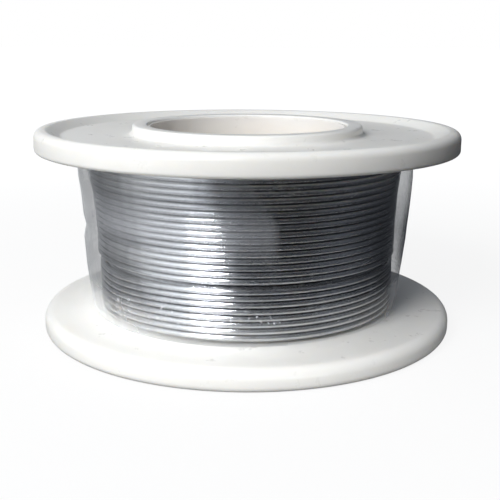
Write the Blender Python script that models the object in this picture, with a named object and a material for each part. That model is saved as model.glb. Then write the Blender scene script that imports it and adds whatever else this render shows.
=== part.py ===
"""A small reel of solder wire: two moulded flanges pressed on to a barrel, the wound wire, and its clear film.

Metres, +Z up along the bore. The origin is the centre of the lower flange's flat underside.
"""

import math

import bpy

MM = 0.001

# Driving dimensions of the empty reel.
UPPER_FLANGE_RADIUS = 28.0 * MM
LOWER_FLANGE_RADIUS = 27.5 * MM
RIM_THICKNESS = 2.8 * MM
RIM_WIDTH = 2.45 * MM
RECESS_DEPTH = 1.15 * MM
REEL_HEIGHT = 26.7 * MM  # from the lower rim's underside to the upper rim's top
COLLAR_RADIUS = 15.3 * MM
COLLAR_PROUD = 0.35 * MM  # the upper collar's height above its rim
MOUTH_RADIUS = 13.3 * MM
LIP_DEPTH = 0.7 * MM  # how far inside the mouth the barrel's seat is
BARREL_RADIUS = 14.0 * MM
BARREL_WALL = 1.1 * MM

# Driving dimensions of what is wound on it.
WIRE_DIAMETER = 0.8 * MM
FULL_LAYERS = 8
STEP_HEIGHT = 10.3 * MM  # where the unfinished outermost layer ends
FILM_THICKNESS = 0.2 * MM
FILM_TOP_RADIUS = 22.3 * MM
FILM_WAIST_RADIUS = 21.7 * MM
FILM_FOOT_RADIUS = 20.4 * MM
FILM_WAIST_HEIGHT = 8.0 * MM

GAP = 0.3 * MM  # between pieces that touch on the real reel
DRAFT = 0.1 * MM  # how much a moulded step leans over its height
SEGMENTS = 64  # round a full turn
ARC_STEPS = 2  # along a rounded corner


def clear_scene():
    for obj in list(bpy.data.objects):
        bpy.data.objects.remove(obj)


def material(name, colour, roughness, metallic=0.0, alpha=1.0):
    made = bpy.data.materials.new(name)
    made.use_nodes = True
    shader = made.node_tree.nodes["Principled BSDF"]
    shader.inputs["Base Color"].default_value = (*colour, 1.0)
    shader.inputs["Roughness"].default_value = roughness
    shader.inputs["Metallic"].default_value = metallic
    shader.inputs["Alpha"].default_value = alpha
    return made


def rounded(corners):
    """The closed outline through corners (radius, height, fillet), each corner turned into an arc of its fillet."""
    outline = []
    for i, (r, z, fillet) in enumerate(corners):
        if not fillet:
            outline.append((r, z))
            continue
        before = corners[i - 1]
        after = corners[(i + 1) % len(corners)]
        to_before = unit(before[0] - r, before[1] - z)
        to_after = unit(after[0] - r, after[1] - z)
        half = math.acos(to_before[0] * to_after[0] + to_before[1] * to_after[1]) / 2
        middle = unit(to_before[0] + to_after[0], to_before[1] + to_after[1])
        centre = (r + middle[0] * fillet / math.sin(half), z + middle[1] * fillet / math.sin(half))
        reach = fillet / math.tan(half)
        first = math.atan2(z + to_before[1] * reach - centre[1], r + to_before[0] * reach - centre[0])
        last = math.atan2(z + to_after[1] * reach - centre[1], r + to_after[0] * reach - centre[0])
        turn = (last - first + math.pi) % (2 * math.pi) - math.pi
        for step in range(ARC_STEPS + 1):
            angle = first + turn * step / ARC_STEPS
            outline.append((centre[0] + fillet * math.cos(angle), centre[1] + fillet * math.sin(angle)))
    return outline


def unit(x, y):
    length = math.hypot(x, y)
    return x / length, y / length


def turned(name, corners, look):
    """A ring turned about Z from a closed outline, which runs down its outer side."""
    outline = rounded(corners)
    count = len(outline)
    mesh = bpy.data.meshes.new(name)
    mesh.from_pydata([(r, 0, z) for r, z in outline], [(i, (i + 1) % count) for i in range(count)], [])
    obj = bpy.data.objects.new(name, mesh)
    bpy.context.scene.collection.objects.link(obj)
    obj.data.materials.append(look)
    screw = obj.modifiers.new("Turn", "SCREW")
    screw.axis = "Z"
    screw.steps = screw.render_steps = SEGMENTS
    screw.use_merge_vertices = True
    screw.merge_threshold = 0.00001
    screw.use_smooth_shade = True
    return obj


def flange(name, radius, collar_proud, inner_face, outward, look):
    """A flange whose flat inner face is at that height. outward is 1 for the upper one and -1 for the lower."""
    floor = RIM_THICKNESS - RECESS_DEPTH
    collar = RIM_THICKNESS + collar_proud
    seat = collar - LIP_DEPTH
    corners = [
        (MOUTH_RADIUS, collar, 0.3 * MM),
        (COLLAR_RADIUS, collar, 0.35 * MM),
        (COLLAR_RADIUS + DRAFT, floor, 0.4 * MM),
        (radius - RIM_WIDTH - DRAFT, floor, 0.4 * MM),
        (radius - RIM_WIDTH, RIM_THICKNESS, 0.25 * MM),
        (radius, RIM_THICKNESS, 0.65 * MM),
        (radius, 0, 0.45 * MM),
        (BARREL_RADIUS + GAP, 0, 0),
        (BARREL_RADIUS + GAP, seat, 0),
        (MOUTH_RADIUS, seat, 0),
    ]
    placed = [(r, inner_face + outward * height, fillet) for r, height, fillet in corners]
    return turned(name, placed[:: int(outward)], look)


def barrel(look):
    """The tube between the two flanges' seats."""
    bottom = LIP_DEPTH + GAP
    top = REEL_HEIGHT + COLLAR_PROUD - LIP_DEPTH - GAP
    inside = BARREL_RADIUS - BARREL_WALL
    corners = [
        (inside, top, 0.2 * MM),
        (BARREL_RADIUS, top, 0.2 * MM),
        (BARREL_RADIUS, bottom, 0.2 * MM),
        (inside, bottom, 0.2 * MM),
    ]
    return turned("barrel", corners, look)


def solder_wire(look):
    """The outer shape of the whole winding: full layers, and one more that stops at the step."""
    nested = WIRE_DIAMETER * math.sin(math.radians(60))  # how much each layer adds, lying in the one below
    full = BARREL_RADIUS + WIRE_DIAMETER + (FULL_LAYERS - 1) * nested
    outermost = full + nested
    bottom = RIM_THICKNESS + GAP
    top = REEL_HEIGHT - RIM_THICKNESS - GAP
    half_wire = WIRE_DIAMETER / 2
    corners = [
        (BARREL_RADIUS + GAP, top, 0),
        (outermost, top, half_wire),
        (outermost, STEP_HEIGHT, half_wire / 2),
        (full, STEP_HEIGHT, 0),
        (full, bottom, half_wire),
        (BARREL_RADIUS + GAP, bottom, 0),
    ]
    return turned("solder_wire", corners, look)


def film_wrap(look):
    """The clear film: a thin skin from flange to flange that draws in to the foot of the winding."""
    bottom = RIM_THICKNESS + GAP
    top = REEL_HEIGHT - RIM_THICKNESS - GAP
    bend = 6.0 * MM
    outside = [
        (FILM_TOP_RADIUS, top, 0),
        (FILM_WAIST_RADIUS, FILM_WAIST_HEIGHT, bend),
        (FILM_FOOT_RADIUS, bottom, 0),
    ]
    inside = [(r - FILM_THICKNESS, z, fillet) for r, z, fillet in reversed(outside)]
    return turned("film_wrap", outside + inside, look)


def main():
    clear_scene()
    white = (0.86, 0.86, 0.83)
    upper_face = REEL_HEIGHT - RIM_THICKNESS
    flange("upper_flange", UPPER_FLANGE_RADIUS, COLLAR_PROUD, upper_face, 1, material("upper_flange", white, 0.35))
    flange("lower_flange", LOWER_FLANGE_RADIUS, 0.0, RIM_THICKNESS, -1, material("lower_flange", white, 0.35))
    barrel(material("barrel", (0.84, 0.82, 0.77), 0.4))
    solder_wire(material("solder_wire", (0.55, 0.56, 0.58), 0.28, metallic=1.0))
    film_wrap(material("film_wrap", (0.92, 0.94, 0.96), 0.15, alpha=0.25))


main()
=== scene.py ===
"""The looks of a small reel of solder wire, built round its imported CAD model.

Metres, +Z up along the bore, with the origin under the middle of the lower flange. Angles round the reel are
measured from the side that faces the camera (-Y), and grow towards +X.
"""

import math

import bpy
import numpy as np
from mathutils import Matrix, Vector, noise


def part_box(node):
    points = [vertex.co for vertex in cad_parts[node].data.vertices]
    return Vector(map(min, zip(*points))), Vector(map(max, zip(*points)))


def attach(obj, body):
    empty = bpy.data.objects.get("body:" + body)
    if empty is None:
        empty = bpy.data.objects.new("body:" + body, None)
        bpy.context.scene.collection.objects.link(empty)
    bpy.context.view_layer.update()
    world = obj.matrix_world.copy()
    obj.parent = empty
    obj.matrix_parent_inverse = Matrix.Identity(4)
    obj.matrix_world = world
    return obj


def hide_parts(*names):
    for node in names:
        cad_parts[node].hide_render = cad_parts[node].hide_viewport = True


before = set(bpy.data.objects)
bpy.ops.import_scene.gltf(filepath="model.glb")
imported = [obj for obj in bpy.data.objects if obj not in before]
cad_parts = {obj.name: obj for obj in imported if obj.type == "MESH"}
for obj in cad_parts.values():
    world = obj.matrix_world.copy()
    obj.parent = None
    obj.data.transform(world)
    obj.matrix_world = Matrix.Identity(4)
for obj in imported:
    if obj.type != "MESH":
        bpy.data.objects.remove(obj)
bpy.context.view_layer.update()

MM = 0.001
DEG = math.radians(1)

# Places and sizes read from the frame.
upper_low, upper_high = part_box("upper_flange")
lower_low, lower_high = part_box("lower_flange")
barrel_low, barrel_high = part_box("barrel")
UPPER_RADIUS = upper_high.x
LOWER_RADIUS = lower_high.x
BARREL_RADIUS = barrel_high.x
UPPER_FACE = upper_low.z  # the upper flange's underside
LOWER_FACE = lower_high.z  # the lower flange's top
COLLAR_TOP = upper_high.z

# The mouldings, as the CAD has them but with a softer step inside the rim.
RIM_THICKNESS = lower_high.z - lower_low.z
RIM_WIDTH = 2.45 * MM
RECESS_DEPTH = 0.9 * MM
RIM_SLOPE = 1.9 * MM  # how far the rim's inner wall leans
COLLAR_RADIUS = 15.3 * MM
MOUTH_RADIUS = 13.3 * MM
LIP_DEPTH = 0.7 * MM  # how far inside the mouth the barrel's seat is
LIP_GAP = 0.06 * MM  # round the barrel's lip, inside the mouth
LIP_SUNK = 0.25 * MM  # how far the lip stays inside each end of the bore
BARREL_WALL = 1.1 * MM
DRAFT = 0.1 * MM
WARP = 0.06 * MM  # how far a rim rises and falls
RIPPLE = 0.03 * MM  # how uneven a rim's edge is

# The wire.
WIRE_DIAMETER = 0.8 * MM
WIRE_PITCH = 0.803 * MM
FACE_GAP = 0.05 * MM  # between a flange's face and the nearest turn, or the edge of the film
FULL_LAYERS = 8
DOWN_TURNS = 24  # of a layer wound towards the lower flange
UP_TURNS = 23
UNDER_STEP_TURNS = 23.25  # of the layer that shows below the step
TOP_ZONE_TURNS = 15.9  # of the last, part-filled layer, counted down from the upper flange
BOTTOM_ZONE_TURNS = 7  # of the layer below it that stay in sight
GAP_AT_STEP = 0.85  # pitches left empty where the last layer ends
CLIMB = 0.5  # the share of a turn in which the wire climbs to the next layer
UNDER_STEP_CLIMB = 0.25
SEEN_STEPS, HIDDEN_STEPS = 120, 36  # points in a turn
LEAN_TO_LEFT = 0.034  # how much further out the turns stand on the left, growing with height
# How far the outer turns stand out of a straight winding, by height in mm: they slump upwards.
SLUMP = ((3.0, 0.31), (9.7, 0.37), (10.6, -0.14), (13.0, -0.11), (17.5, 0.15), (21.0, 0.58), (23.5, 0.80))
# Where the turns step on to the next groove: the start and width as shares of a turn, and the pitches moved.
HALF_CROSSINGS = ((0.31, 0.125, 0.5), (0.81, 0.125, 0.5))
BACK_CROSSING = ((0.02, 0.2, 1.0),)

# The film: its height and radius in mm, down its left side and down its right side.
FILM_LEFT = (
    (2.9, 20.85), (4.0, 21.2), (6.0, 21.5), (9.0, 21.8), (12.4, 21.9),
    (14.0, 21.6), (15.7, 21.9), (17.4, 22.05), (20.7, 22.5), (23.9, 22.6),
)
FILM_RIGHT = (
    (2.9, 20.2), (5.0, 20.65), (7.4, 20.95), (9.0, 21.15), (12.4, 21.5),
    (14.0, 21.6), (17.0, 21.85), (19.0, 22.0), (20.7, 22.1), (23.9, 22.0),
)
# Height in mm and angle in degrees of the cut edge where the sheet ends, near the middle of the front.
FILM_END = ((2.9, 14.0), (12.0, 11.0), (15.0, 8.3), (18.0, 8.3), (19.0, 5.5), (22.7, 0.3), (23.9, -1.5))
FILM_OVERLAP = 62 * DEG
FILM_HUG = 0.35  # mm drawn in across the front and the back
FILM_LIFT = 0.16 * MM  # how far the outer end stands off the turn of film under it
# How deep the folds and the pleats are at the top, and at the foot.
FOLD_DEPTH, FOOT_FOLD_DEPTH = 0.22 * MM, 0.12 * MM
PLEAT_DEPTH, FOOT_PLEAT_DEPTH = 0.06 * MM, 0.03 * MM
FILM_COLUMNS, FILM_ROWS = 640, 110

# The photograph's view, with the upper flange's radius as the unit.
CAMERA_DISTANCE = 4.25
CAMERA_ELEVATION = 12.1 * DEG
CAMERA_ROLL = 0.28 * DEG
FOCAL_SHARE = 1.732  # focal length over the picture's width
CENTRE_SHIFT = (0.0062, -0.0537)  # of the lens, in widths of the picture

# The three lights: the angle round the reel and the elevation in degrees, the sides in metres, and the watts.
KEY_LIGHT = (-31, 32, (0.22, 0.20), 1.95)
GLEAM_LIGHT = (-33.9, 48, (0.175, 0.28), 8.2)
FILL_LIGHT = (28, -0.5, (0.24, 0.016), 0.55)
LIGHT_DISTANCE = 0.5
# How bright the room is, by the angle in degrees round the reel.
ROOM_LIGHT = (
    (-180, 0.14), (-165, 0.62), (-148, 0.40), (-118, 0.12), (-92, 0.40), (-62, 1.6), (-42, 2.0), (-15, 0.25),
    (5, 0.06), (40, 0.04), (72, 0.11), (105, 0.06), (130, 0.02), (155, 0.03), (180, 0.14),
)
OVERHEAD_LIGHT = 0.36
FLOOR_HALF_SIDE = 3.0
FLOOR_DROP = 0.05 * MM  # keeps the floor clear of the lower flange's underside


# ---------------------------------------------------------------- camera


def add_object(name, data):
    obj = bpy.data.objects.new(name, data)
    bpy.context.scene.collection.objects.link(obj)
    return obj


def look_at(obj, target, roll=0.0):
    direction = Vector(target) - obj.location
    turn = direction.to_track_quat("-Z", "Y").to_matrix().to_4x4()
    obj.matrix_world = Matrix.Translation(obj.location) @ turn @ Matrix.Rotation(roll, 4, "Z")


def add_camera():
    data = bpy.data.cameras.new("camera")
    data.sensor_width = 36.0
    data.lens = FOCAL_SHARE * data.sensor_width
    data.shift_x, data.shift_y = CENTRE_SHIFT
    data.clip_start, data.clip_end = 0.005, 20.0
    camera = add_object("camera", data)
    middle = Vector((0, 0, (UPPER_FACE + RIM_THICKNESS) / 2))
    away = CAMERA_DISTANCE * UPPER_RADIUS
    camera.location = middle + Vector(
        (0, -away * math.cos(CAMERA_ELEVATION), away * math.sin(CAMERA_ELEVATION))
    )
    look_at(camera, middle, CAMERA_ROLL)
    bpy.context.scene.camera = camera


# ---------------------------------------------------------------- node helpers


class Nodes:
    """A short way to write a node tree."""

    def __init__(self, tree):
        self.tree = tree

    def add(self, kind, settings=(), **inputs):
        node = self.tree.nodes.new(kind)
        for name, value in dict(settings).items():
            setattr(node, name, value)
        for name, value in inputs.items():
            self.put(node.inputs[name.replace("_", " ")], value)
        return node

    def put(self, socket, value):
        if isinstance(value, bpy.types.NodeSocket):
            self.tree.links.new(value, socket)
        else:
            socket.default_value = value

    def math(self, operation, *values, clamp=False):
        node = self.tree.nodes.new("ShaderNodeMath")
        node.operation = operation
        node.use_clamp = clamp
        for socket, value in zip(node.inputs, values):
            self.put(socket, value)
        return node.outputs[0]

    def times(self, first, second):
        return self.math("MULTIPLY", first, second)

    def plus(self, first, second):
        return self.math("ADD", first, second)

    def ramp(self, value, low, high, to_low=0.0, to_high=1.0, smooth=True):
        node = self.tree.nodes.new("ShaderNodeMapRange")
        node.interpolation_type = "SMOOTHSTEP" if smooth else "LINEAR"
        for name, given in zip(
            ("Value", "From Min", "From Max", "To Min", "To Max"), (value, low, high, to_low, to_high)
        ):
            self.put(node.inputs[name], given)
        return node.outputs["Result"]

    def band(self, value, out, full, fading, gone):
        """0 up to out, 1 from full to fading, and 0 again from gone."""
        return self.times(self.ramp(value, out, full), self.ramp(value, fading, gone, 1.0, 0.0))

    def mix_colour(self, factor, first, second):
        node = self.add("ShaderNodeMix", {"data_type": "RGBA"}, Factor=factor, A=first, B=second)
        return node.outputs["Result"]

    def mix_shaders(self, factor, first, second):
        node = self.tree.nodes.new("ShaderNodeMixShader")
        for socket, value in zip(node.inputs, (factor, first.outputs[0], second.outputs[0])):
            self.put(socket, value)
        return node

    def noise(self, vector, scale, detail=3.0, roughness=0.5):
        node = self.add(
            "ShaderNodeTexNoise", Vector=vector, Scale=scale, Detail=detail, Roughness=roughness
        )
        return node.outputs["Fac"]

    def place(self):
        return self.tree.nodes.new("ShaderNodeTexCoord").outputs["Object"]

    def split(self, vector):
        return self.add("ShaderNodeSeparateXYZ", Vector=vector).outputs

    def polar(self, place):
        """The sockets of radius, angle and height."""
        x, y, z = self.split(place)
        radius = self.math("SQRT", self.plus(self.times(x, x), self.times(y, y)))
        return radius, self.math("ARCTAN2", x, self.times(y, -1.0)), z

    def vector(self, x, y, z):
        node = self.tree.nodes.new("ShaderNodeCombineXYZ")
        for socket, value in zip(node.inputs, (x, y, z)):
            self.put(socket, value)
        return node.outputs[0]

    def bump(self, height, strength, distance, normal=None):
        node = self.add("ShaderNodeBump", Height=height, Strength=strength, Distance=distance)
        if normal is not None:
            self.put(node.inputs["Normal"], normal)
        return node.outputs["Normal"]

    def finish(self, shader):
        self.add("ShaderNodeOutputMaterial", Surface=shader.outputs[0])


def new_material(name):
    made = bpy.data.materials.new(name)
    made.use_nodes = True
    made.node_tree.nodes.clear()
    return made, Nodes(made.node_tree)


# ---------------------------------------------------------------- materials


def white_plastic(name, colour, shade):
    """Injection-moulded polypropylene: waxy, a little translucent, with faint flow marks and fine scuffs."""
    made, n = new_material(name)
    place = n.place()
    cloud = n.noise(place, 90.0, 4.0)
    flow = n.noise(place, 420.0, 3.0, 0.6)
    spots = n.noise(place, 1500.0, 2.0)
    scuffs = n.noise(place, 4200.0)
    pores = n.noise(place, 9000.0, 2.0)
    grimy = (*(channel * 0.93 for channel in shade), 1)
    base = n.mix_colour(n.ramp(cloud, 0.35, 0.65), (*shade, 1), (*colour, 1))
    base = n.mix_colour(n.ramp(spots, 0.66, 0.80, 0.0, 0.025), base, grimy)
    rough = n.plus(n.ramp(flow, 0.3, 0.7, 0.27, 0.4), n.ramp(scuffs, 0.5, 0.75, 0.0, 0.08))
    waves = n.bump(flow, 0.12, 0.3 * MM)
    grain = n.bump(pores, 0.10, 0.03 * MM, waves)
    shader = n.add("ShaderNodeBsdfPrincipled", Base_Color=base, Roughness=rough, Normal=grain)
    shader.inputs["IOR"].default_value = 1.49
    shader.inputs["Subsurface Weight"].default_value = 0.35
    shader.inputs["Subsurface Radius"].default_value = (1.0, 0.9, 0.75)
    shader.inputs["Subsurface Scale"].default_value = 1.6 * MM
    n.finish(shader)
    return made


def solder_metal():
    """Drawn solder: bright tin-lead metal with a satin skin, fine lines along the wire, small nicks and
    painted shade in the grooves.
    """
    made, n = new_material("solder")
    place = n.place()
    radius, angle, height = n.polar(place)
    lines = n.noise(n.vector(radius, height, n.times(angle, 1.5 * MM)), 14000.0, 2.0)
    patches = n.noise(n.vector(radius, height, n.times(angle, 6 * MM)), 500.0, 2.0)
    nicks = n.noise(place, 2600.0, 2.0)
    base = n.mix_colour(n.ramp(patches, 0.3, 0.7), (0.68, 0.685, 0.70, 1), (0.76, 0.765, 0.78, 1))
    base = n.mix_colour(n.ramp(lines, 0.5, 0.75, 0.0, 0.25), base, (0.49, 0.495, 0.52, 1))
    # Painted shade: the base colour goes dark in the grooves between turns, following an occlusion mask, to
    # give thin dark lines.
    hollow = n.add("ShaderNodeAmbientOcclusion", {"only_local": True, "samples": 6}, Distance=0.4 * MM)
    painted_groove_shade = n.ramp(hollow.outputs["AO"], 0.45, 0.85, 0.8, 0.0)
    base = n.mix_colour(painted_groove_shade, base, (0.10, 0.105, 0.125, 1))
    rough = n.plus(n.ramp(patches, 0.25, 0.75, 0.23, 0.26), n.ramp(lines, 0.4, 0.7, 0.0, 0.02))
    drawn = n.bump(lines, 0.02, 0.01 * MM)
    dented = n.bump(n.ramp(nicks, 0.66, 0.76), 0.10, 0.02 * MM, drawn)
    # The drawing lines run along the wire, so each highlight spreads across it.
    x, y, _ = n.split(place)
    along_wire = n.vector(n.times(y, -1.0), x, 0.0)
    tangent = n.add("ShaderNodeVectorMath", {"operation": "NORMALIZE"}, Vector=along_wire).outputs[0]
    shader = n.add(
        "ShaderNodeBsdfPrincipled", Base_Color=base, Roughness=rough, Normal=dented, Tangent=tangent
    )
    shader.inputs["Metallic"].default_value = 1.0
    shader.inputs["Anisotropic"].default_value = 1.0
    shader.inputs["Anisotropic Rotation"].default_value = 0.25
    n.finish(shader)
    return made


def film_cover(n, unrolled, angle, height, glance):
    """How much of the clear film is hidden by its haze, its cloudy end, its creases and its specks."""
    haze = n.ramp(n.noise(unrolled, 120.0, 2.0), 0.35, 0.7, 0.001, 0.004)
    # The last stretch of the sheet, left of its slanting cut edge, is cloudier than the rest.
    edge = n.ramp(height, 17.5 * MM, 22.7 * MM, 10 * DEG, 0.5 * DEG, smooth=False)
    past_edge = n.math("SUBTRACT", angle, edge)
    cloudy = n.times(n.ramp(angle, -75 * DEG, -45 * DEG), n.ramp(past_edge, -1 * DEG, 0.5 * DEG, 1.0, 0.0))
    cloudy = n.times(cloudy, n.ramp(height, 12.5 * MM, 17 * MM))
    # A crease is where the noise passes through its middle value.
    from_middle = n.math("ABSOLUTE", n.math("SUBTRACT", n.noise(unrolled, 130.0, 1.0), 0.5))
    creases = n.ramp(from_middle, 0.0, 0.010, 0.025, 0.0)
    low_band = n.band(height, 4.9 * MM, 5.4 * MM, 7.2 * MM, 7.8 * MM)
    in_front = n.band(angle, -52 * DEG, -44 * DEG, 8 * DEG, 16 * DEG)
    specks = n.ramp(n.noise(unrolled, 2100.0, 1.0), 0.66, 0.72, 0.0, 0.35)
    specks = n.times(specks, n.times(low_band, in_front))
    body = n.plus(haze, n.times(cloudy, 0.075))
    body = n.plus(body, n.plus(creases, specks))
    return n.math("ADD", body, n.times(glance, 0.05), clamp=True)


def clear_film():
    """Thin clear film: see-through face on, shiny at a glancing angle, with haze, creases and specks."""
    made, n = new_material("clear_film")
    _, angle, height = n.polar(n.place())
    unrolled = n.vector(n.times(angle, 20 * MM), height, 0.0)
    facing = n.add("ShaderNodeLayerWeight", Blend=0.5).outputs["Facing"]
    glance = n.math("POWER", facing, 1.8)
    # Bunched down the right side, so shinier there.
    bunched = n.times(n.ramp(angle, 52 * DEG, 78 * DEG), n.ramp(height, 13 * MM, 19 * MM, 1.0, 0.0))
    mirror = n.plus(n.times(glance, 0.78), n.times(bunched, n.times(facing, 0.35)))
    mirror = n.math("MINIMUM", n.plus(mirror, 0.05), 0.95)
    # Less shine at the foot of the right side, where the photo shows the wire darker.
    right_foot = n.times(n.ramp(angle, -25 * DEG, 30 * DEG), n.ramp(height, 5 * MM, 12 * MM, 0.65, 0.0))
    mirror = n.times(mirror, n.math("SUBTRACT", 1.0, right_foot))
    relief = n.bump(n.noise(unrolled, 700.0, 3.0, 0.55), 0.10, 0.15 * MM)
    dull_at_foot = n.ramp(height, 5 * MM, 12 * MM, 0.34, 0.08)
    clear = n.add("ShaderNodeBsdfTransparent", Color=(0.97, 0.975, 0.98, 1))
    gloss = n.add("ShaderNodeBsdfGlossy", Color=(1, 1, 1, 1), Roughness=dull_at_foot, Normal=relief)
    milk = n.add("ShaderNodeBsdfDiffuse", Color=(0.80, 0.82, 0.87, 1), Normal=relief)
    cover = film_cover(n, unrolled, angle, height, glance)
    n.finish(n.mix_shaders(cover, n.mix_shaders(mirror, clear, gloss), milk))
    return made


def floor_material():
    """White paper, lifted towards plain white where the camera sees it, so that only a soft shadow shows."""
    made, n = new_material("floor")
    paper = n.add("ShaderNodeBsdfDiffuse", Color=(0.12, 0.12, 0.12, 1))
    seen = n.add("ShaderNodeLightPath").outputs["Is Camera Ray"]
    out_from_reel, _, _ = n.polar(n.place())
    lift = n.times(seen, n.ramp(out_from_reel, 0.04, 0.25, 0.88, 1.0))
    glow = n.add("ShaderNodeEmission", Color=(1, 1, 1, 1), Strength=lift)
    both = n.add("ShaderNodeAddShader")
    n.put(both.inputs[0], paper.outputs[0])
    n.put(both.inputs[1], glow.outputs[0])
    n.finish(both)
    return made


# ---------------------------------------------------------------- mouldings


def unit(x, y):
    length = math.hypot(x, y)
    return x / length, y / length


def rounded(corners, steps):
    """The closed outline through corners (radius, height, fillet), with each corner an arc of its fillet."""
    outline = []
    for i, (r, z, fillet) in enumerate(corners):
        before, after = corners[i - 1], corners[(i + 1) % len(corners)]
        to_before = unit(before[0] - r, before[1] - z)
        to_after = unit(after[0] - r, after[1] - z)
        half = math.acos(to_before[0] * to_after[0] + to_before[1] * to_after[1]) / 2
        middle = unit(to_before[0] + to_after[0], to_before[1] + to_after[1])
        out = fillet / math.sin(half)
        centre = (r + middle[0] * out, z + middle[1] * out)
        reach = fillet / math.tan(half)
        first = math.atan2(z + to_before[1] * reach - centre[1], r + to_before[0] * reach - centre[0])
        last = math.atan2(z + to_after[1] * reach - centre[1], r + to_after[0] * reach - centre[0])
        turn = (last - first + math.pi) % (2 * math.pi) - math.pi
        for step in range(steps + 1):
            angle = first + turn * step / steps
            outline.append((centre[0] + fillet * math.cos(angle), centre[1] + fillet * math.sin(angle)))
    return outline


def subdivided(outline, longest):
    """The closed outline with its long straight runs cut into shorter ones."""
    found = []
    for a, b in zip(outline, outline[1:] + outline[:1]):
        count = max(1, math.ceil(math.hypot(b[0] - a[0], b[1] - a[1]) / longest))
        found += [(a[0] + (b[0] - a[0]) * i / count, a[1] + (b[1] - a[1]) * i / count) for i in range(count)]
    return found


def lathe(name, outline, segments, look, change=None):
    """A closed ring turned about Z. change(radius, height, angle) may move each of its points."""
    verts, faces = [], []
    count = len(outline)
    for s in range(segments):
        angle = 2 * math.pi * s / segments
        for r, z in outline:
            if change:
                r, z = change(r, z, angle)
            verts.append((r * math.sin(angle), -r * math.cos(angle), z))
    for s in range(segments):
        here, there = s * count, (s + 1) % segments * count
        for i in range(count):
            j = (i + 1) % count
            faces.append((here + i, there + i, there + j, here + j))
    mesh = bpy.data.meshes.new(name)
    mesh.from_pydata(verts, [], faces)
    mesh.shade_smooth()
    mesh.set_sharp_from_angle(angle=50 * DEG)
    mesh.materials.append(look)
    return add_object(name, mesh)


def wander(angle, height, scale, seed):
    """Smooth noise from -1 to 1 that joins up round the reel."""
    spot = Vector((math.sin(angle) * scale, math.cos(angle) * scale, height * 200 + seed))
    return noise.noise(spot)


def flange(name, radius, collar_proud, inner_face, outward, rim_fillets, look, seed):
    """A flange with its flat inner face at that height. outward is 1 for the upper one, -1 for the lower."""
    floor = RIM_THICKNESS - RECESS_DEPTH
    collar = RIM_THICKNESS + collar_proud
    seat = collar - LIP_DEPTH
    tiny = 0.05 * MM
    corners = [
        (MOUTH_RADIUS, collar, 0.28 * MM),
        (COLLAR_RADIUS, collar, 0.35 * MM),
        (COLLAR_RADIUS + DRAFT, floor, 0.55 * MM),
        (radius - RIM_WIDTH - RIM_SLOPE / 2, floor, 1.2 * MM),
        (radius - RIM_WIDTH + RIM_SLOPE / 2, RIM_THICKNESS, 1.0 * MM),
        (radius, RIM_THICKNESS, rim_fillets[0]),
        (radius, 0, rim_fillets[1]),
        (BARREL_RADIUS + tiny, 0, tiny),
        (BARREL_RADIUS + tiny, seat, tiny),
        (MOUTH_RADIUS, seat, tiny),
    ]
    outline = [(r, inner_face + outward * h) for r, h in subdivided(rounded(corners, 6), 1.2 * MM)]

    def uneven(r, z, angle):
        share = min(1.0, max(0.0, (r - COLLAR_RADIUS) / (radius - COLLAR_RADIUS)))
        warp = WARP * share * wander(angle, 0, 0.9, seed)
        return r - abs(RIPPLE * share * wander(angle, z, 3.0, seed + 5)), z + warp

    return lathe(name, outline[:: -int(outward)], 288, look, uneven)


def barrel(look):
    """The tube, with a thin lip at each end that comes up inside the flange's mouth."""
    inside = BARREL_RADIUS - BARREL_WALL
    lip = MOUTH_RADIUS - LIP_GAP
    above = COLLAR_TOP - LIP_SUNK
    below = LIP_SUNK
    lip_edge, shoulder_edge, tiny = 0.12 * MM, 0.2 * MM, 0.04 * MM
    corners = [
        (inside, above, lip_edge),
        (lip, above, lip_edge),
        (lip, barrel_high.z, tiny),
        (BARREL_RADIUS, barrel_high.z, shoulder_edge),
        (BARREL_RADIUS, barrel_low.z, shoulder_edge),
        (lip, barrel_low.z, tiny),
        (lip, below, lip_edge),
        (inside, below, lip_edge),
    ]
    return lathe("barrel_tube", subdivided(rounded(corners, 4), 2.0 * MM)[::-1], 256, look)


# ---------------------------------------------------------------- the wire


def smoothstep(x):
    x = min(1.0, max(0.0, x))
    return x * x * (3 - 2 * x)


def along(points, height):
    """The value at that height in a list of (height in mm, value)."""
    return float(np.interp(height / MM, [p[0] for p in points], [p[1] for p in points]))


def advance(share, crossings):
    """How many pitches the wire has moved on after that share of a turn. A turn starts behind the reel."""
    return sum(part * smoothstep((share - start) / width) for start, width, part in crossings)


def layer_radius(layer, z):
    """The centre of the wire in that layer: nested in the one below, and slumped towards the top flange."""
    nested = WIRE_DIAMETER * math.sin(60 * DEG) * 0.985
    slump = along(SLUMP, z) * MM
    return BARREL_RADIUS + WIRE_DIAMETER / 2 + layer * (nested + slump / FULL_LAYERS)


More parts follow.
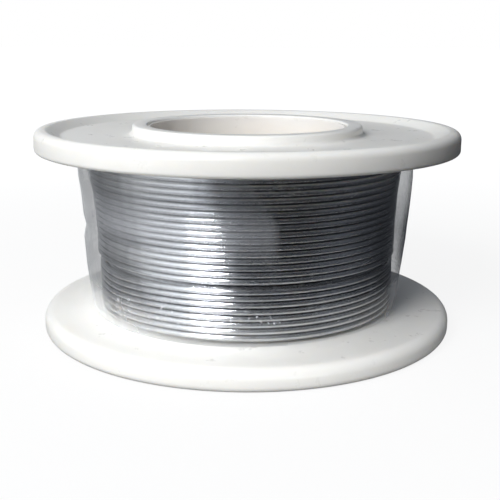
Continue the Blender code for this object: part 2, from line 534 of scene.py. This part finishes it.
def wire_points():
    """(radius, turns, height) along the wire, from its start on the barrel to its cut end outside."""
    top = UPPER_FACE - FACE_GAP - WIRE_DIAMETER / 2
    bottom = LOWER_FACE + FACE_GAP + WIRE_DIAMETER / 2
    points = []
    turned = 0.0
    z = top
    for layer in range(FULL_LAYERS + 1):
        down = layer % 2 == 0
        last = layer == FULL_LAYERS
        under_step = layer == FULL_LAYERS - 1
        start = top if down else bottom
        turns = DOWN_TURNS if down else UP_TURNS
        if last:
            turns = TOP_ZONE_TURNS
        elif under_step:
            turns = UNDER_STEP_TURNS
        climb = UNDER_STEP_CLIMB if under_step else CLIMB
        steps = SEEN_STEPS if last or under_step else HIDDEN_STEPS
        crossings = BACK_CROSSING if last else HALF_CROSSINGS
        if layer:
            old_r, old_z = layer_radius(layer - 1, z), z
            for i in range(1, round(climb * steps)):
                share = smoothstep(i / (climb * steps))
                z_here = old_z + (start - old_z) * share
                r = old_r + (layer_radius(layer, start) - old_r) * share
                points.append((r, turned + i / steps, z_here))
            turned += climb
        phase = turned % 1.0
        base = advance(phase, crossings)
        step_begins, step_width, _ = HALF_CROSSINGS[1]
        step_begins += BOTTOM_ZONE_TURNS
        for i in range(math.ceil(turns * steps) + 1):
            u = min(turns, i / steps)
            whole, share = divmod(phase + u, 1.0)
            moved = whole + advance(share, crossings) - base
            if under_step:
                moved += GAP_AT_STEP * smoothstep((phase + u - step_begins) / step_width)
            z = start - moved * WIRE_PITCH if down else start + moved * WIRE_PITCH
            points.append((layer_radius(layer, z), turned + u, z))
        turned += turns
    return points


def settled(points):
    """The same line with the small unevenness of a real winding, in x, y and z."""
    placed = []
    for r, turns, z in points:
        angle = 2 * math.pi * turns + math.pi
        turn = math.floor(turns)
        r += 0.04 * MM * wander(angle, turn * 0.013, 1.3, 3.0)
        r -= LEAN_TO_LEFT * (z - LOWER_FACE) * (r - BARREL_RADIUS) / BARREL_RADIUS * math.sin(angle)
        z += 0.05 * MM * wander(angle, turn * 0.017, 0.8, 9.0)
        placed.append(Vector((r * math.sin(angle), -r * math.cos(angle), z)))
    return placed


def wire(look):
    line = settled(wire_points())
    data = bpy.data.curves.new("solder_winding", "CURVE")
    data.dimensions = "3D"
    data.bevel_depth = WIRE_DIAMETER / 2
    data.bevel_resolution = 3
    data.use_fill_caps = True
    data.resolution_u = 1
    spline = data.splines.new("POLY")
    spline.points.add(len(line) - 1)
    for point, place in zip(spline.points, line):
        point.co = (*place, 1.0)
    spline.use_smooth = True
    data.materials.append(look)
    obj = add_object("solder_winding", data)
    return obj


# ---------------------------------------------------------------- the film


def film_radius(angle, z):
    """The sheet's radius before its folds, between its two outlines and closer in front and behind."""
    rightness = 0.5 + 0.5 * math.sin(angle)
    side = along(FILM_LEFT, z) * (1 - rightness) + along(FILM_RIGHT, z) * rightness
    return (side - FILM_HUG * math.cos(angle) ** 4) * MM


def film_unevenness(angle, z, lifted):
    """How far folds, the pleats at the foot and a dimple on the left move the sheet out."""
    folds = wander(angle + z * 12, z * 0.5, 3.2, 6.0 + 8 * lifted / MM)
    pleats = abs(wander(angle, z * 0.15, 14.0, 12.0))
    low = smoothstep((9 * MM - z) / (6 * MM))
    fold_depth = FOLD_DEPTH + (FOOT_FOLD_DEPTH - FOLD_DEPTH) * low
    pleat_depth = PLEAT_DEPTH + (FOOT_PLEAT_DEPTH - PLEAT_DEPTH) * low
    from_dimple = ((z - 14.3 * MM) / (0.8 * MM), (angle % math.tau - 4.75) / 0.25)
    dimple = 0.12 * MM * math.exp(-(from_dimple[0] ** 2) - from_dimple[1] ** 2)
    return fold_depth * folds + pleat_depth * pleats - dimple


def film(look):
    """One sheet of film wound round the wire, with an overlap across the front, drawn in at its foot."""
    foot, top = LOWER_FACE + 0.06 * MM, UPPER_FACE - FACE_GAP
    verts, faces = [], []
    for c in range(FILM_COLUMNS + 1):
        share = c / FILM_COLUMNS
        lifted = FILM_LIFT * smoothstep((share - 0.80) * 12)
        for row in range(FILM_ROWS + 1):
            z = top + (foot - top) * row / FILM_ROWS
            end = along(FILM_END, z) * DEG
            angle = end - (2 * math.pi + FILM_OVERLAP) * (1 - share)
            r = film_radius(angle, z) + lifted + film_unevenness(angle, z, lifted)
            verts.append((r * math.sin(angle), -r * math.cos(angle), z))
    for c in range(FILM_COLUMNS):
        for row in range(FILM_ROWS):
            a = c * (FILM_ROWS + 1) + row
            b = a + FILM_ROWS + 1
            faces.append((a, a + 1, b + 1, b))
    mesh = bpy.data.meshes.new("film_sheet")
    mesh.from_pydata(verts, [], faces)
    mesh.shade_smooth()
    mesh.materials.append(look)
    obj = add_object("film_sheet", mesh)
    return obj


# ---------------------------------------------------------------- light and floor


def area_light(name, angle, elevation, sides, watts, receivers):
    """A light that faces the middle of the reel and lights only the receivers."""
    data = bpy.data.lights.new(name, "AREA")
    data.shape = "RECTANGLE"
    data.size, data.size_y = sides
    data.energy = watts
    light = add_object(name, data)
    a, e = math.radians(angle), math.radians(elevation)
    towards = Vector((math.sin(a) * math.cos(e), -math.cos(a) * math.cos(e), math.sin(e)))
    middle = Vector((0, 0, 13 * MM))
    light.location = middle + towards * LIGHT_DISTANCE
    look_at(light, middle)
    lit = bpy.data.collections.new("lit_by_" + name)
    for piece in receivers:
        lit.objects.link(piece)
    light.light_linking.receiver_collection = lit


def room(n):
    """The light that the room gives from each direction: bright left of the camera, dim on the right."""
    direction = n.tree.nodes.new("ShaderNodeTexCoord").outputs["Generated"]
    _, angle, z = n.polar(direction)
    level = ROOM_LIGHT[0][1]
    for (start, low), (end, high) in zip(ROOM_LIGHT, ROOM_LIGHT[1:]):
        level = n.plus(level, n.ramp(angle, start * DEG, end * DEG, 0.0, high - low))
    above_floor = n.ramp(z, -0.60, -0.10, 0.12, 1.0)
    overhead = n.ramp(z, 0.55, 0.95)
    level = n.times(level, n.times(above_floor, n.math("SUBTRACT", 1.0, overhead)))
    level = n.plus(level, n.times(overhead, OVERHEAD_LIGHT))
    cool = n.ramp(angle, -60 * DEG, 40 * DEG)
    tint = n.mix_colour(cool, (0.97, 1.0, 1.03, 1), (0.90, 0.98, 1.14, 1))
    return n.add("ShaderNodeVectorMath", {"operation": "SCALE"}, Vector=tint, Scale=level).outputs[0]


def add_world():
    """The room as the reel sees it, and plain white to the camera."""
    world = bpy.data.worlds.new("studio")
    bpy.context.scene.world = world
    world.use_nodes = True
    tree = world.node_tree
    tree.nodes.clear()
    n = Nodes(tree)
    seen = n.add("ShaderNodeLightPath").outputs["Is Camera Ray"]
    colour = n.mix_colour(seen, room(n), (1.0, 1.0, 1.0, 1))
    shader = n.add("ShaderNodeBackground", Color=colour, Strength=1.0)
    n.add("ShaderNodeOutputWorld", Surface=shader.outputs[0])


def add_floor():
    mesh = bpy.data.meshes.new("floor")
    corners = [(x * FLOOR_HALF_SIDE, y * FLOOR_HALF_SIDE, 0) for x, y in ((-1, -1), (1, -1), (1, 1), (-1, 1))]
    mesh.from_pydata(corners, [], [(0, 1, 2, 3)])
    mesh.materials.append(floor_material())
    floor = add_object("floor", mesh)
    floor.location.z = -FLOOR_DROP
    floor.visible_glossy = False
    return floor


def studio(mouldings, wire_and_film):
    """A key light on mouldings and floor, a taller one on wire and film, and a low fill on the lower disc."""
    add_world()
    floor = add_floor()
    area_light("key", *KEY_LIGHT, [*mouldings, floor])
    area_light("gleam", *GLEAM_LIGHT, wire_and_film)
    area_light("low_fill", *FILL_LIGHT, mouldings[1:2])
    settings = bpy.context.scene.view_settings
    settings.view_transform = "Standard"
    settings.look = "None"


# ---------------------------------------------------------------- assembly


def main():
    add_camera()
    winding = wire(solder_metal())
    sheet = film(clear_film())
    white = white_plastic("flange_plastic", (0.905, 0.892, 0.852), (0.885, 0.870, 0.828))
    cream = white_plastic("barrel_plastic", (0.90, 0.86, 0.805), (0.875, 0.825, 0.765))
    collar_proud = COLLAR_TOP - UPPER_FACE - RIM_THICKNESS
    upper_fillets = (0.95 * MM, 0.45 * MM)
    lower_fillets = (0.8 * MM, 1.25 * MM)
    upper = flange("upper_disc", UPPER_RADIUS, collar_proud, UPPER_FACE, 1, upper_fillets, white, 20.0)
    lower = flange("lower_disc", LOWER_RADIUS, 0.0, LOWER_FACE, -1, lower_fillets, white, 40.0)
    pieces = [
        (winding, "solder_wire", "solder"),
        (sheet, "film_wrap", "clear_film"),
        (upper, "upper_flange", "flange_plastic"),
        (lower, "lower_flange", "flange_plastic"),
        (barrel(cream), "barrel", "barrel_plastic"),
    ]
    for piece, node, slot in pieces:
        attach(piece, "root")
        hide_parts(node)
    studio([piece for piece, _, _ in pieces[2:]], [piece for piece, _, _ in pieces[:2]])


main()
